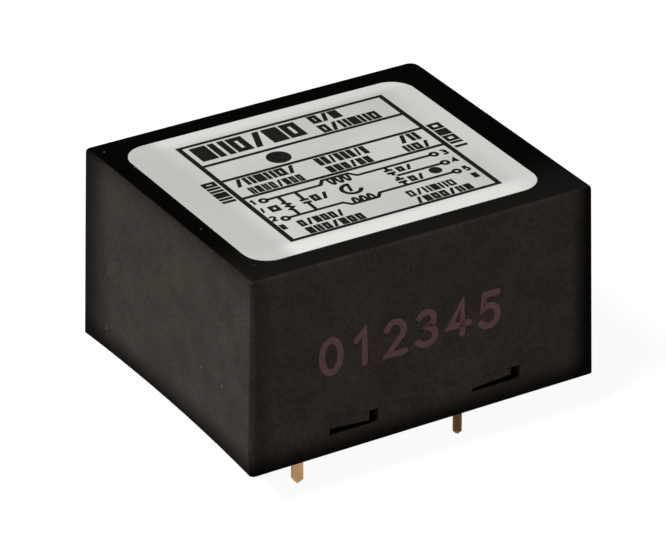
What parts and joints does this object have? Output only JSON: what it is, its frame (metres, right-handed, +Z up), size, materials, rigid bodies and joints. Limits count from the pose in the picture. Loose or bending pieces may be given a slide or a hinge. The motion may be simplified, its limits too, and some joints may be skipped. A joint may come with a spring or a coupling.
{
  "type": "emi line filter",
  "caption": "Board-mounted mains filter: drafted black snap-fit box with a labelled top and square brass pins below.",
  "frame": {"origin": "middle of the case's rim, in the plane where the rim meets the circuit board", "axes": "+X from the line end to the load end, +Y from the live side to the neutral side, +Z up through the labelled top"},
  "size_m": [0.0445, 0.0382, 0.0286],
  "materials": {
    "case_plastic": "fine spark-eroded black with a brown cast",
    "cover_plastic": "plain moulded black",
    "label_film": "semi-matte pale film",
    "board_laminate": "brown paper laminate",
    "copper": "bare copper under clear lacquer",
    "solder": "dull tin",
    "core_coating": "green epoxy coating over ferrite",
    "white_plastic": "natural nylon",
    "enamelled_wire": "enamelled copper wire",
    "blue_box": "moulded blue box",
    "tinned_wire": "tinned copper wire",
    "blue_epoxy": "dipped blue epoxy",
    "resistor_body": "beige lacquer",
    "pin_brass": "drawn brass wire, slightly tarnished"
  },
  "bodies": {
    "root": {"case": "case_plastic", "base_plate": "cover_plastic", "label": "label_film", "circuit_board": "board_laminate", "copper_tracks": "copper", "solder_joints": "solder", "choke_core": "core_coating", "choke_carrier": "white_plastic", "choke_winding_line": "enamelled_wire", "choke_winding_neutral": "enamelled_wire", "x_capacitor": "blue_box", "x_capacitor_leads": "tinned_wire", "y_capacitor_line": "blue_epoxy", "y_capacitor_line_leads": "tinned_wire", "y_capacitor_neutral": "blue_epoxy", "y_capacitor_neutral_leads": "tinned_wire", "bleed_resistor": "resistor_body", "bleed_resistor_leads": "tinned_wire", "line_pin_live": "pin_brass", "line_pin_neutral": "pin_brass", "load_pin_live": "pin_brass", "load_pin_neutral": "pin_brass", "earth_pin": "pin_brass"}
  },
  "joints": []
}
